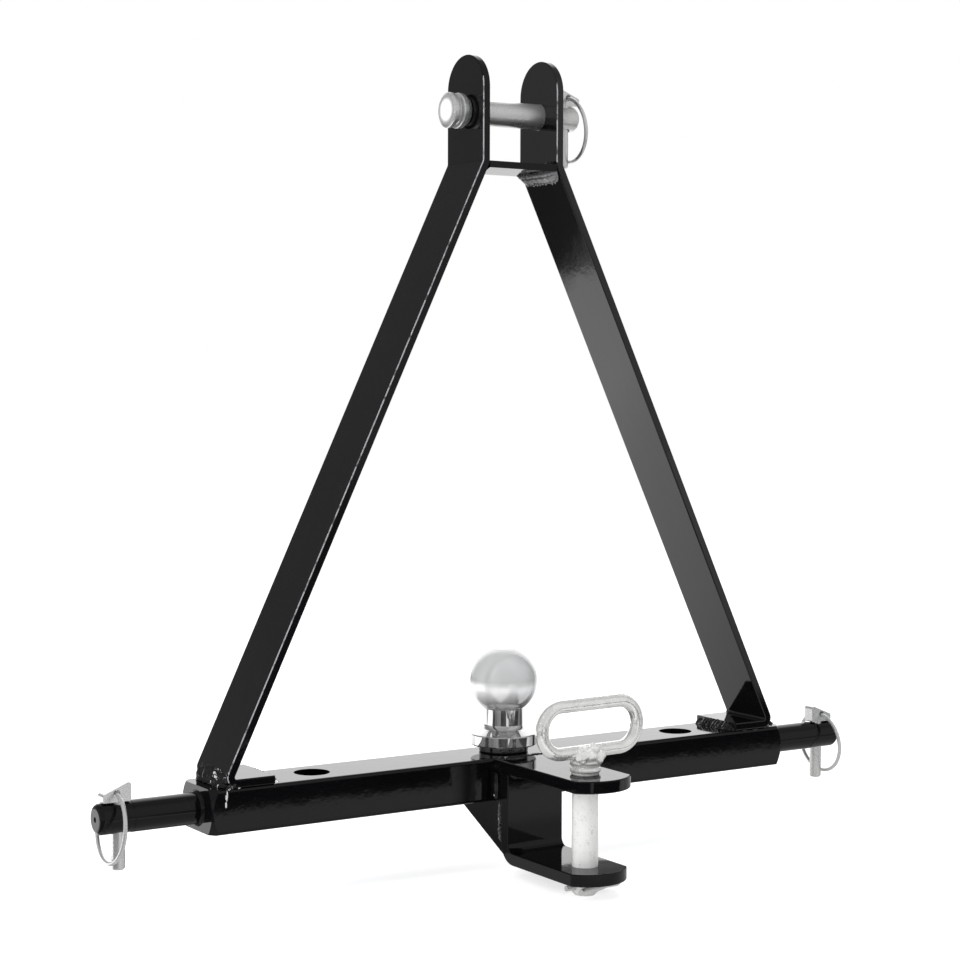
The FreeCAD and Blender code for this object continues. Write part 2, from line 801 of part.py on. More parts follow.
def make_top_pin():
    """Top link pin: spool head outside the left ear, rounded tip, and the linchpin's cross hole."""
    radius = top_pin_diameter / 2
    collar_face = -ear_outer - seat_gap
    inner_rim = collar_face - spool_collar_width
    groove_side = inner_rim - spool_rim_width
    outer_rim = groove_side - spool_groove_width
    face = outer_rim - spool_rim_width
    rim = spool_rim_diameter / 2
    collar = spool_collar_diameter / 2
    groove = spool_groove_diameter / 2
    pin = turned_x(
        [
            (face, 0, 0),
            (face, rim - 2.2, 1.0),
            (face + 1.0, rim, 1.0),
            (outer_rim, rim, 1.0),
            (outer_rim + 0.8, groove, 1.0),
            (groove_side - 0.8, groove, 1.0),
            (groove_side, rim, 1.0),
            (inner_rim, rim, 1.0),
            (inner_rim, collar, 0),
            (collar_face, collar, 0.8),
            (collar_face, radius, 0),
            (top_pin_tip, radius, top_pin_tip_radius),
            (top_pin_tip, 0, 0),
        ]
    )
    hole = drill(linch_hole_radius, Vector(top_linch_x, 0, -radius), Vector(top_linch_x, 0, radius))
    return pin.cut(hole).translated(Vector(0, 0, mast_height))


def make_linchpin(pin_radius):
    """Linchpin about the Z axis: round shank and a wedge head with the ring's eye, resting on a pin."""
    seat = pin_radius + seat_gap
    tail = seat - linch_length
    radius = linch_diameter / 2
    shank = turned_z(
        [
            (0, tail, 0),
            (radius - linch_tip_chamfer, tail, 0),
            (radius, tail + linch_tip_chamfer, 0),
            (radius, seat + linch_head_low / 2, 0),
            (0, seat + linch_head_low / 2, 0),
        ]
    )
    half = linch_head_thickness / 2
    head = front_profile(
        [
            (-linch_head_inner, seat, 1.0),
            (linch_head_outer, seat, 1.0),
            (linch_head_outer, seat + linch_head_low, linch_head_round),
            (-linch_head_inner, seat + linch_head_tall, linch_head_round),
        ],
        -half,
        half,
    )
    eye_height = seat + eye_rise
    eye = drill(
        ring_wire_diameter / 2 + eye_gap,
        Vector(eye_offset, -half, eye_height),
        Vector(eye_offset, half, eye_height),
    )
    return shank.fuse(head).cut(eye).removeSplitter()


def make_ring(pin_radius):
    """Spring ring through the linchpin's eye, closed round the pin and leaning outwards."""
    wire = ring_wire_diameter / 2
    mean = ring_outer_diameter / 2 - wire
    eye_height = pin_radius + seat_gap + eye_rise
    ring = Part.makeTorus(mean, wire, Vector(0, 0, -mean), AXIS_X)
    ring.rotate(ORIGIN, AXIS_Y, -ring_lean)
    return ring.translated(Vector(eye_offset, 0, eye_height))


def save_linchpins():
    """Three identical linchpins: one through each lower pin and one through the top pin."""
    lower_radius = lower_pin_diameter / 2
    lower_shift = Vector(lower_linch_x, 0, 0)
    lower_pin = make_linchpin(lower_radius).translated(lower_shift)
    lower_ring = make_ring(lower_radius).translated(lower_shift)
    save("lower_linchpin_right", lower_pin)
    save("lower_linchpin_ring_right", lower_ring)
    save("lower_linchpin_left", mirror_left(lower_pin))
    save("lower_linchpin_ring_left", mirror_left(lower_ring))
    top_shift = Vector(top_linch_x, 0, mast_height)
    save("top_linchpin", make_linchpin(top_pin_diameter / 2).translated(top_shift))
    save("top_linchpin_ring", make_ring(top_pin_diameter / 2).translated(top_shift))


def save_bar_and_pins(crossbar):
    """Crossbar and the two lower hitch pins with their weld rings."""
    save("crossbar", crossbar)
    pin = make_lower_pin()
    weld = make_lower_pin_weld()
    save("lower_pin_right", pin)
    save("lower_pin_weld_right", weld)
    save("lower_pin_left", mirror_left(pin))
    save("lower_pin_weld_left", mirror_left(weld))


def save_mast():
    """Two braces, the spacer plate, the top pin and the mast's welds."""
    brace = make_brace()
    foot_welds = make_foot_welds(brace)
    save("brace_right", brace)
    save("brace_left", mirror_left(brace))
    save("mast_spacer_plate", make_spacer_plate())
    save("mast_weld", make_mast_welds(brace))
    save("foot_weld_right", foot_welds)
    save("foot_weld_left", mirror_left(foot_welds))
    save("top_pin", make_top_pin())


def save_clevis(crossbar):
    """Clevis plates, gussets and welds, and the drawbar pin with what it carries."""
    strap = make_clevis_strap()
    gusset = make_clevis_gusset(strap)
    save("clevis_top_plate", make_clevis_top_plate())
    save("clevis_strap", strap)
    save("clevis_gusset_right", gusset)
    save("clevis_gusset_left", mirror_left(gusset))
    save("clevis_weld", make_clevis_welds(crossbar, gusset))
    pin = make_drawbar_pin()
    handle = make_handle()
    save("drawbar_pin", pin)
    save("drawbar_pin_handle", handle)
    save("drawbar_pin_weld", make_handle_weld(pin, handle))
    save("drawbar_pin_washer", make_pin_washer())
    save("drawbar_pin_clip", make_clip())


def save_ball():
    """Tow ball, the spring washer above the bar, and the washer and nut below it."""
    save("hitch_ball", make_hitch_ball())
    save("ball_lock_washer", make_lock_washer())
    save("ball_flat_washer", make_flat_washer())
    save("ball_nut", make_ball_nut())


bar_shape = make_crossbar()
save_bar_and_pins(bar_shape)
save_mast()
save_clevis(bar_shape)
save_ball()
save_linchpins()
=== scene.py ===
# %% [markdown]
# # A three-point drawbar with a tow ball and a clevis
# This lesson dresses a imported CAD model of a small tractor's drawbar: a gloss black
# frame of welded flat bar, a chromed ball, zinc pins and a galvanised pull handle.
# The CAD gives every size and place. Blender adds what a drawing leaves out: weld
# beads with their ripples, and finishes that answer the studio light.

import json
import math

import bmesh
import bpy
from mathutils import Euler, Matrix, Vector, noise


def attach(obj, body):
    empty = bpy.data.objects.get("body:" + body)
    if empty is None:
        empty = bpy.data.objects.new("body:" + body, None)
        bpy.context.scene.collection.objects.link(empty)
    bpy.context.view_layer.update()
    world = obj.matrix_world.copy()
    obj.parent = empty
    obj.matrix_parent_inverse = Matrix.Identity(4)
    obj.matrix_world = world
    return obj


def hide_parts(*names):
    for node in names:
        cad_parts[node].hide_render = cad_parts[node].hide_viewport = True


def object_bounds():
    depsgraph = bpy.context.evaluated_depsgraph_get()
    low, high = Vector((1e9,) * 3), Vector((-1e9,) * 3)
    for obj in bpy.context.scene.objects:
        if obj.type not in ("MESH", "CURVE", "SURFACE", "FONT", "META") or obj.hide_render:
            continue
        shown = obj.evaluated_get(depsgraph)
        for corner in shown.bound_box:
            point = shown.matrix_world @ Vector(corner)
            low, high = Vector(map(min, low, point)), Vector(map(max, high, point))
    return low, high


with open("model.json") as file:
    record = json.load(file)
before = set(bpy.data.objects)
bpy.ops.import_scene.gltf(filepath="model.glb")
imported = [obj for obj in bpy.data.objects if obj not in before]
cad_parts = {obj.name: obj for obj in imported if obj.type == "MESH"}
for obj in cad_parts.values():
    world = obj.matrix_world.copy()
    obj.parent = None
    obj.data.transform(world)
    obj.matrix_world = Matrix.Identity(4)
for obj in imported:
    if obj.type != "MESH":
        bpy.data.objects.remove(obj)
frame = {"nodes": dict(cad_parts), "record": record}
cad_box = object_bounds()
nodes = frame["nodes"]
MM = 0.001
print("CAD nodes:", len(nodes))
print("CAD box in metres:", [[round(v, 4) for v in corner] for corner in cad_box])

# %% [markdown]
# ## The camera
# The viewpoint was worked out from the photograph by fitting the drawbar's known
# edges to their places in the picture. Blender's camera looks down its own -Z axis,
# so it is tipped up by 90 degrees before its pitch and then turned by its yaw.

# %% Camera
IMAGE = 960
FOCAL_PIXELS = 2108.8
SENSOR = 36.0
STAND = (-0.86986, -1.32359, 0.30188)
YAW = math.radians(32.65)
PITCH = math.radians(-2.93)
ROLL = math.radians(0.15)

lens = bpy.data.cameras.new("camera")
lens.sensor_width = SENSOR
lens.lens = FOCAL_PIXELS / IMAGE * SENSOR
lens.clip_start = 0.01
camera = bpy.data.objects.new("camera", lens)
turn = Euler((math.pi / 2 + PITCH, 0, -YAW)).to_matrix().to_4x4()
camera.matrix_world = Matrix.Translation(STAND) @ turn @ Matrix.Rotation(ROLL, 4, "Z")
bpy.context.scene.collection.objects.link(camera)
bpy.context.scene.camera = camera
print("lens in mm:", round(lens.lens, 2))

# %% [markdown]
# ## Writing materials as sums
# A material is a graph of nodes, and a long graph is hard to read. Two small classes
# make it read like arithmetic: a Wire stands for one socket and adds a Math node for
# each operator, and a Graph adds any other node from its type, its settings and what
# goes into its sockets. A comparison gives a mask, 1 where it holds and 0 elsewhere,
# and two masks are multiplied where both have to hold.


# %% Wires
class Wire:
    """One output socket that can be added, multiplied and compared like a number."""

    def __init__(self, graph, socket):
        self.graph = graph
        self.socket = socket

    def math(self, operation, first, second):
        sockets = {0: first, 1: second}
        return self.graph.node("ShaderNodeMath", {"operation": operation}, sockets)

    def axis(self, letter):
        """One coordinate of a vector."""
        return self.graph.node("ShaderNodeSeparateXYZ", {}, {"Vector": self}, out=letter)

    def within(self, low, high):
        """A mask of the stretch between two limits."""
        return (self > low) * (self < high)

    def __add__(self, other):
        return self.math("ADD", self, other)

    def __radd__(self, other):
        return self.math("ADD", other, self)

    def __sub__(self, other):
        return self.math("SUBTRACT", self, other)

    def __rsub__(self, other):
        return self.math("SUBTRACT", other, self)

    def __mul__(self, other):
        return self.math("MULTIPLY", self, other)

    def __gt__(self, other):
        return self.math("GREATER_THAN", self, other)

    def __lt__(self, other):
        return self.math("LESS_THAN", self, other)


# %% Graphs
class Graph:
    """A node tree for one finish, or for the world."""

    def __init__(self, tree):
        self.tree = tree
        tree.nodes.clear()

    def node(self, kind, settings=None, sockets=None, out=0):
        made = self.tree.nodes.new(kind)
        for name, value in (settings or {}).items():
            setattr(made, name, value)
        for name, value in (sockets or {}).items():
            if isinstance(value, Wire):
                self.tree.links.new(value.socket, made.inputs[name])
            else:
                made.inputs[name].default_value = value
        return Wire(self, made.outputs[out]) if len(made.outputs) else None

    def ramp(self, factor, *stops):
        """Grey levels along a factor from 0 to 1."""
        grey = self.node("ShaderNodeValToRGB", {}, {"Fac": factor})
        elements = grey.socket.node.color_ramp.elements
        while len(elements) < len(stops):
            elements.new(1.0)
        for element, (place, level) in zip(elements, stops):
            element.position = place
            element.color = (level, level, level, 1)
        return grey

    def blend(self, factor, first, second):
        sockets = {0: factor, 6: first, 7: second}
        return self.node("ShaderNodeMix", {"data_type": "RGBA"}, sockets, out=2)


# %% A finish
def noise_on(graph, place, scale, detail=3.0, roughness=0.5):
    """Noise with so many lumps to the metre."""
    sockets = {"Vector": place, "Scale": scale, "Detail": detail, "Roughness": roughness}
    return graph.node("ShaderNodeTexNoise", {}, sockets)


def new_finish(name):
    """A material, its graph and the Object coordinates every pattern here is drawn on."""
    material = bpy.data.materials.new(name)
    material.use_nodes = True
    graph = Graph(material.node_tree)
    place = graph.node("ShaderNodeTexCoord", out="Object")
    print("finish:", name)
    return material, graph, place


def facing_on(graph):
    """The direction a surface faces, along the object's own axes."""
    return graph.node("ShaderNodeTexCoord", out="Normal")


def bump(graph, height, distance, strength=1.0, after=None):
    """Bump from a height between 0 and 1 that stands for a distance in metres."""
    sockets = {"Height": height, "Distance": distance, "Strength": strength}
    if after is not None:
        sockets["Normal"] = after
    return graph.node("ShaderNodeBump", {}, sockets)


def surface(graph, sockets):
    """The Principled shader and the output that ends every finish."""
    shader = graph.node("ShaderNodeBsdfPrincipled", {}, sockets)
    graph.node("ShaderNodeOutputMaterial", {}, {"Surface": shader})


# %% [markdown]
# ## Gloss black enamel
# The frame is dipped or sprayed in gloss black. It looks black face on, mirrors the
# white studio at a shallow angle, and has the faint orange peel of sprayed paint. So
# the colour hardly varies, and the work is done by roughness and a very low bump.
#
# Three masks change the enamel's colour, and each has a mask of its own. Bare steel specks
# on the welds' fronts are made pale, so that they also paint the welds' glints. A painted
# highlight lies on the braces' edges that face the left, drawn as rubbed bare steel. The
# rough weld under the spacer's right end is painted grey, a painted reflection of the
# bright floor. A mask is drawn on the part's own coordinates, so it is easy to move, and
# no picture has to be stored.

# %% Where the enamel has bare specks and painted light
NEAR_FRONT_Y = -0.0225
BRACE_FRONT_Y = -0.0238
FRONT_HALF_Y = -0.005
LEFT_FOOT_X = -0.2
EDGE_TURN = -0.22


def bare_and_glint_specks(graph, place, threshold):
    """Mask of small bare specks on a weld's front, pale enough to paint its glints, thicker at
    the left foot's end.
    """
    grain = noise_on(graph, place, 330.0, 2.0)
    clump = noise_on(graph, place, 75.0, 1.0)
    front = place.axis("Y")
    foot_end = (front < NEAR_FRONT_Y) * (place.axis("X") < LEFT_FOOT_X)
    spatter = grain * 0.6 + clump * 0.4 + foot_end * 0.07
    # Bare steel specks, made pale so that they also paint the weld's glints.
    bare_and_glint = graph.ramp(spatter, (threshold, 0.0), (threshold + 0.015, 1.0))
    return bare_and_glint * (front < FRONT_HALF_Y)


def painted_edge_highlight(graph, place, above):
    """Mask of a painted highlight on the rounded edge between a brace's left-hand side and its
    front, with gaps.
    """
    facing = facing_on(graph)
    lit = graph.ramp(noise_on(graph, place, 160.0, 3.0), (0.36, 0.15), (0.50, 1.0))
    # The highlight is painted only where an edge faces the left and the front.
    turned = (facing.axis("X") < EDGE_TURN) * (facing.axis("Y") < EDGE_TURN)
    return turned * (place.axis("Y") < BRACE_FRONT_Y) * (place.axis("Z") > above) * lit


# The painted edge highlight lies in front of this depth.
print("worn edges lie in front of y =", BRACE_FRONT_Y)

# %% Enamel
PAINT = (0.0012, 0.0010, 0.0013, 1)
PAINT_HAZE = (0.0030, 0.0026, 0.0032, 1)
DUST = (0.035, 0.034, 0.036, 1)
# Colour of the bare specks, pale so that they also paint glints.
BARE_GLINT_WHITE = (0.85, 0.85, 0.86, 1)
# A painted reflection of the bright floor, grey on the mast weld.
FLOOR_REFLECTION_GREY = (0.20, 0.20, 0.205, 1)
# Colour of the painted edge highlight, drawn as rubbed bare steel.
EDGE_HIGHLIGHT_STEEL = (0.42, 0.42, 0.44, 1)
PAINT_IOR = 1.34
GLOSSY_IOR = 1.50
MAST_IOR = 1.55


def enamel(name, ripple, specks=None, highlight_above=None, ior=PAINT_IOR, grey_below=None):
    """Gloss black, a stronger mirror with a higher ior, and where it is told, bare specks that
    paint glints, a painted edge highlight and a painted grey reflection.
    """
    material, graph, place = new_finish(name)
    haze = noise_on(graph, place, 14.0, 4.0)
    speck = noise_on(graph, place, 900.0, 1.0)
    peel = noise_on(graph, place, 420.0, 2.0)
    wave = noise_on(graph, place, 60.0, 2.0)
    dust = graph.ramp(speck, (0.70, 0.0), (0.78, 1.0))
    colour = graph.blend(haze, PAINT, PAINT_HAZE)
    colour = graph.blend(dust * 0.25, colour, DUST)
    rough = 0.035 + haze * 0.05 + dust * 0.12
    normal = bump(graph, wave, 0.00025, 0.25)
    normal = bump(graph, peel, 0.00005, 0.35 + ripple, after=normal)
    sockets = {"Base Color": colour, "Roughness": rough, "IOR": ior, "Normal": normal}
    if specks is not None:
        # Bare specks that also paint the weld's glints.
        bare_and_glint = bare_and_glint_specks(graph, place, specks)
        sockets["Base Color"] = graph.blend(bare_and_glint, colour, BARE_GLINT_WHITE)
        sockets["Metallic"] = bare_and_glint * 0.7
        sockets["Roughness"] = rough + bare_and_glint * 0.2
    # Painted reflection: the weld under the spacer's right end is painted grey like the bright
    # floor it mirrors.
    if grey_below is not None:
        under = (place.axis("Z") < grey_below) * (place.axis("X") > 0.0)
        painted_reflection = under * (0.45 + haze * 0.9)
        sockets["Base Color"] = graph.blend(painted_reflection, colour, FLOOR_REFLECTION_GREY)
    # A painted highlight on the braces' edges that face the left.
    if highlight_above is not None:
        edge = painted_edge_highlight(graph, place, highlight_above)
        sockets["Base Color"] = graph.blend(edge, colour, EDGE_HIGHLIGHT_STEEL)
        sockets["Metallic"] = edge * 0.5
        sockets["Roughness"] = rough + edge * 0.25
    surface(graph, sockets)
    return material


black_paint = enamel("gloss_black_enamel", 0.0)
weld_paint = enamel("enamel_over_weld", 0.4)
foot_paint = enamel("enamel_over_foot_weld", 0.4, specks=0.548, ior=GLOSSY_IOR)
seam_paint = enamel("enamel_over_seam", 0.4, specks=0.63, ior=GLOSSY_IOR)
# The mast weld's grey below the spacer is a painted reflection.
mast_paint = enamel("enamel_over_mast_weld", 0.6, ior=MAST_IOR, grey_below=0.4522)
# The braces' enamel carries a painted edge highlight, on the right brace only above the spacer.
left_brace_paint = enamel("left_brace_enamel", 0.0, highlight_above=0.020)
right_brace_paint = enamel("right_brace_enamel", 0.0, highlight_above=0.458, ior=GLOSSY_IOR)

# %% [markdown]
# ## Zinc plate
# The top pin, the linchpins with their rings, the nut and its washer are steel with
# thin zinc plate. It is a soft mirror with a cloudy, slightly yellow tint. Turned steel
# keeps fine lathe lines under it, and drawn wire the lines of its die. A Wave texture
# gives such lines along any axis without a new face. The flat left end of the top pin
# shows as a pale disc in the photograph, so a mask on that face makes it paler.

# %% Zinc
ZINC_SHADE = (0.60, 0.62, 0.64, 1)
ZINC_LIGHT = (0.83, 0.83, 0.81, 1)
ZINC_YELLOW = (0.78, 0.74, 0.60, 1)
PALE = (0.97, 0.97, 0.97, 1)
PLATED = 0.85
LINES_SCALE = 900.0
TOP_PIN_HEIGHT = 0.4935
END_TURN = -0.93
DISC_SCALE = 5000.0


def pale_disc(graph, place):
    """Mask of a disc on the left end face of the top pin, soft at its rim."""
    end = facing_on(graph).axis("X") < END_TURN
    front = place.axis("Y")
    up = place.axis("Z") - TOP_PIN_HEIGHT
    spread = (front * front + up * up) * DISC_SCALE
    return end * graph.ramp(spread, (0.22, 1.0), (0.46, 0.0))


def zinc_plate(name, line_axis=None, pale_face=False):
    """Cloudy zinc, with fine lines if an axis is named for them."""
    material, graph, place = new_finish(name)
    cloud = noise_on(graph, place, 45.0, 4.0)
    fine = noise_on(graph, place, 700.0, 2.0)
    tint = noise_on(graph, place, 20.0, 1.0)
    colour = graph.blend(cloud, ZINC_SHADE, ZINC_LIGHT)
    colour = graph.blend(tint * 0.18, colour, ZINC_YELLOW)
    rough = 0.16 + cloud * 0.16 + fine * 0.08
    normal = bump(graph, fine, 0.00004, 0.5)
    if line_axis is not None:
        lines = graph.node(
            "ShaderNodeTexWave",
            {"wave_type": "BANDS", "bands_direction": line_axis},
            {"Vector": place, "Scale": LINES_SCALE, "Distortion": 1.2, "Detail": 2.0},
            out="Fac",
        )
        normal = bump(graph, lines, 0.00003, 0.45, after=normal)
        rough = rough + lines * 0.05
    sockets = {"Base Color": colour, "Metallic": PLATED, "Roughness": rough, "Normal": normal}
    if pale_face:
        disc = pale_disc(graph, place)
        sockets["Base Color"] = graph.blend(disc * 0.9, colour, PALE)
        sockets["Metallic"] = PLATED - disc * 0.6
    surface(graph, sockets)
    return material


spool_zinc = zinc_plate("zinc_with_pale_face", "X", pale_face=True)
plain_zinc = zinc_plate("zinc_plate")
spring_wire = zinc_plate("zinc_spring_wire", "Z")

# %% [markdown]
# ## Chrome
# The ball is polished and chromed. In the photograph its neck and flange are clean
# mirrors, while the ball reads as a soft white form that is duller on top. A clean
# mirror ball would show the black frame around it as a dark ring. So the finish turns
# to satin with height, rougher and less metallic, and its colour paints light: a painted
# pale reflection with height and a painted dark reflection on the crown. The same finish
# with darker values serves the spring washer under the flange.

# %% Chromed ball
RAMP_PER_METRE = 10.0
SATIN_AND_REFLECTION_FROM, SATIN_AND_REFLECTION_TO = 0.46, 0.64
CROWN_FROM, CROWN_TO = 0.66, 0.71
# Colours of the painted reflections on the ball.
PALE_REFLECTION_WHITE = (0.93, 0.93, 0.93, 1)
CROWN_DARK_REFLECTION = (0.54, 0.54, 0.54, 1)


def chrome_plate(name, dull, bright):
    """A mirror that turns to satin on the ball, with a painted pale reflection there and a
    painted dark reflection on its crown.
    """
    material, graph, place = new_finish(name)
    cloud = noise_on(graph, place, 30.0, 3.0)
    height = place.axis("Z") * RAMP_PER_METRE
    satin_and_pale_reflection = graph.ramp(height, (SATIN_AND_REFLECTION_FROM, 0.0), (SATIN_AND_REFLECTION_TO, 1.0))
    crown = graph.ramp(height, (CROWN_FROM, 0.0), (CROWN_TO, 1.0))
    rough = 0.025 + cloud * 0.05 + satin_and_pale_reflection * 0.20
    colour = graph.blend(cloud, (dull, dull, dull * 1.01, 1), (bright, bright, bright, 1))
    # Painted reflections: paler with height, darker on the crown.
    colour = graph.blend(satin_and_pale_reflection, colour, PALE_REFLECTION_WHITE)
    colour = graph.blend(crown, colour, CROWN_DARK_REFLECTION)
    metallic = 0.93 - satin_and_pale_reflection * 0.62
    surface(graph, {"Base Color": colour, "Metallic": metallic, "Roughness": rough})
    return material


chrome = chrome_plate("chrome_plate", 0.55, 0.62)
dark_chrome = chrome_plate("dark_spring_steel", 0.12, 0.20)

# %% [markdown]
# ## Galvanising
# The drawbar pin, its handle and the weld between them are dipped in molten zinc. The
# coat is thick and mottled, with pale crystals, small lumps and dirt in its pits. A
# Voronoi texture gives each crystal its own shade, and two bumps give the lumps and
# the pits. The handle and the lump of weld are shinier than the pin.

# %% Hot-dip zinc
DIP_SHADE = (0.78, 0.79, 0.76, 1)
DIP_LIGHT = (0.97, 0.97, 0.95, 1)
CRYSTAL = (0.97, 0.98, 0.95, 1)
DIRT = (0.33, 0.34, 0.30, 1)
CRYSTAL_SCALE = 260.0


def hot_dip(name, metallic, softness):
    """Mottled zinc; a low softness keeps it shiny."""
    material, graph, place = new_finish(name)
    crystal = graph.node(
        "ShaderNodeTexVoronoi",
        {"feature": "F1"},
        {"Vector": place, "Scale": CRYSTAL_SCALE, "Randomness": 1.0},
        out="Color",
    )
    shade = graph.node("ShaderNodeSeparateColor", {}, {"Color": crystal})
    cloud = noise_on(graph, place, 70.0, 5.0, 0.6)
    lump = noise_on(graph, place, 160.0, 3.0)
    pit = noise_on(graph, place, 1100.0, 2.0)
    dirt = graph.ramp(pit * 0.6 + lump * 0.4, (0.56, 0.0), (0.66, 1.0))
    colour = graph.blend(cloud, DIP_SHADE, DIP_LIGHT)
    colour = graph.blend(shade * 0.28, colour, CRYSTAL)
    colour = graph.blend(dirt * 0.5, colour, DIRT)
    rough = softness + cloud * 0.20 + shade * 0.10 + dirt * 0.15
    normal = bump(graph, lump, 0.0006, 0.45)
    normal = bump(graph, pit, 0.00008, 0.6, after=normal)
    sockets = {"Base Color": colour, "Metallic": metallic, "Roughness": rough, "Normal": normal}
    surface(graph, sockets)
    return material


galvanised = hot_dip("hot_dip_galvanising", 0.35, 0.26)
handle_zinc = hot_dip("hot_dip_handle", 0.74, 0.05)
lump_zinc = hot_dip("hot_dip_lump", 0.60, 0.12)

# %% [markdown]
# ## Dressing the CAD nodes
# Where the CAD shape is already right, the node stays and only takes a finish. The
# record names a material slot for every node, and one table turns slots to finishes.
# A second table is for the few nodes that have a finish of their own.

# %% Finishes by slot
SLOT_FINISH = {
    "black_paint": black_paint,
    "weld_paint": weld_paint,
    "pin_steel": spool_zinc,
    "zinc": plain_zinc,
    "galvanised": galvanised,
    "spring_wire": spring_wire,
    "chrome": chrome,
}
OWN_FINISH = {
    "brace_left": left_brace_paint,
    "brace_right": right_brace_paint,
    "drawbar_pin_handle": handle_zinc,
    "ball_lock_washer": dark_chrome,
}
slot_of = {part["node"]: part["material_slot"] for part in frame["record"]["subparts"]}
for name, node in nodes.items():
    for place_in_mesh in node.material_slots:
        place_in_mesh.material = OWN_FINISH.get(name, SLOT_FINISH[slot_of[name]])
print("dressed:", len(slot_of))

# %% [markdown]
# ## Weld beads
# A bead is a row of puddles that froze one after another, so it has crescent ridges
# across its run, uneven toes and round ends. Each bead here starts as a unit rod that is
# extruded ring by ring. Its points are then moved onto a fillet between two legs, with
# one ridge for each puddle. Drops of spatter are small spheres pressed out of round.
# A bump map could fake the ridges, but they break the bead's outline in the photograph,
# so they are real faces.


# %% Rods
def unit_rod(sheet, steps, sides):
    """A closed rod from z = 0 to 1 with a ring at every step; returns its points."""
    old = set(sheet.verts)
    bmesh.ops.create_circle(sheet, cap_ends=True, segments=sides, radius=1.0)
    face = next(item for item in sheet.faces if item.verts[0] not in old)
    for _ in range(steps):
        grown = bmesh.ops.extrude_face_region(sheet, geom=[face])["geom"]
        face = next(item for item in grown if isinstance(item, bmesh.types.BMFace))
        bmesh.ops.translate(sheet, verts=face.verts, vec=(0, 0, 1.0 / steps))
    return [vert for vert in sheet.verts if vert not in old]


# %% Beads
BEAD_SIDES = 14
RINGS_PER_PUDDLE = 7


def lay_bead(
    sheet, start, along, leg_a, leg_b, puddles, depth=0.22, crown=1.3, bow=0.5, grain=0.10
):
    """Move a new rod onto a fillet: corner line, two legs and a ridge for each puddle."""
    start, along, leg_a, leg_b = (Vector(item) * MM for item in (start, along, leg_a, leg_b))
    for vert in unit_rod(sheet, puddles * RINGS_PER_PUDDLE, BEAD_SIDES):
        turn = math.atan2(vert.co.y, vert.co.x) / (2 * math.pi) % 1.0
        corner = round(turn * BEAD_SIDES) % BEAD_SIDES
        run = vert.co.z
        base = start + along * run
        if corner == BEAD_SIDES - 1:
            vert.co = base - (leg_a + leg_b) * 0.12
            continue
        share = corner / (BEAD_SIDES - 2)
        round_end = max(1.0 - abs(2 * run - 1) ** 8, 0.02) ** 0.5
        puddle = run * puddles + bow * (share - 0.5) ** 2 * 4
        ridge = abs(math.sin(math.pi * puddle)) ** 0.7
        coarse = noise.noise((base + leg_b * share) * 300)
        fine = noise.noise((base + leg_a * share) * 900)
        lump = coarse + 0.6 * fine
        reach = round_end * (1.0 - depth + depth * ridge + grain * lump)
        near_a = math.cos(share * math.pi / 2) ** crown
        near_b = math.sin(share * math.pi / 2) ** crown
        vert.co = base + (leg_a * near_a + leg_b * near_b) * reach


# %% Drops and pieces
def drop(sheet, centre, size, lumps):
    """One drop of spatter or paint, an uneven ball."""
    made = bmesh.ops.create_icosphere(sheet, subdivisions=3, radius=1.0)["verts"]
    centre = Vector(centre) * MM
    size = Vector(size) * MM
    for vert in made:
        swell = 1.0 + lumps * noise.noise(vert.co * 1.4 + centre * 900)
        vert.co = centre + Vector(a * b for a, b in zip(vert.co * swell, size))


def finish_piece(name, sheet, finish, body, replaced):
    """Turn a bmesh into an object, outward and smooth, attach it to its body and hide the nodes
    it replaces.
    """
    bmesh.ops.recalc_face_normals(sheet, faces=sheet.faces)
    mesh = bpy.data.meshes.new(name)
    sheet.to_mesh(mesh)
    sheet.free()
    for face in mesh.polygons:
        face.use_smooth = True
    mesh.materials.append(finish)
    piece = bpy.data.objects.new(name, mesh)
    bpy.context.scene.collection.objects.link(piece)
    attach(piece, body)
    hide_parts(*replaced)
    print(name, "faces:", len(mesh.polygons))


# %% [markdown]
# ## Beads at the feet
# Each leg is welded outside its bend, where the hot metal piled up, and across the end
# of its tab. The front end of the left bead is a clump of drops, and one has run down
# the bar's face. Both feet come from one loop, because only the drops differ.

# %% Feet
FOOT_HALF = 23.5
BAR_TOP = 15.875
BEND_X = 235.5
TAB_END_X = 206.0
ACROSS_FLAT = (0, 2 * FOOT_HALF, 0)
FOOT_DROPS = {
    "left": (
        ((-238.4, -24.0, 17.6), (2.8, 1.4, 2.2), 0.5),
        ((-233.6, -24.2, 16.4), (2.4, 1.2, 1.5), 0.5),
        ((-240.6, -23.9, 16.6), (2.2, 1.3, 1.9), 0.5),
        ((-243.6, -23.2, 21.8), (1.9, 1.6, 2.4), 0.5),
        ((-241.2, -23.4, 25.4), (1.6, 1.5, 1.8), 0.5),
        ((-243.2, -24.8, 11.5), (1.1, 0.7, 4.0), 0.2),
        ((-243.6, -24.8, 5.2), (0.8, 0.5, 2.4), 0.2),
    ),
    "right": (
        ((243.0, -23.6, 18.2), (2.0, 1.3, 1.8), 0.5),
        ((226.0, -24.6, 15.2), (3.2, 0.7, 0.8), 0.4),
        ((214.5, -24.6, 15.3), (2.4, 0.7, 0.7), 0.4),
    ),
}
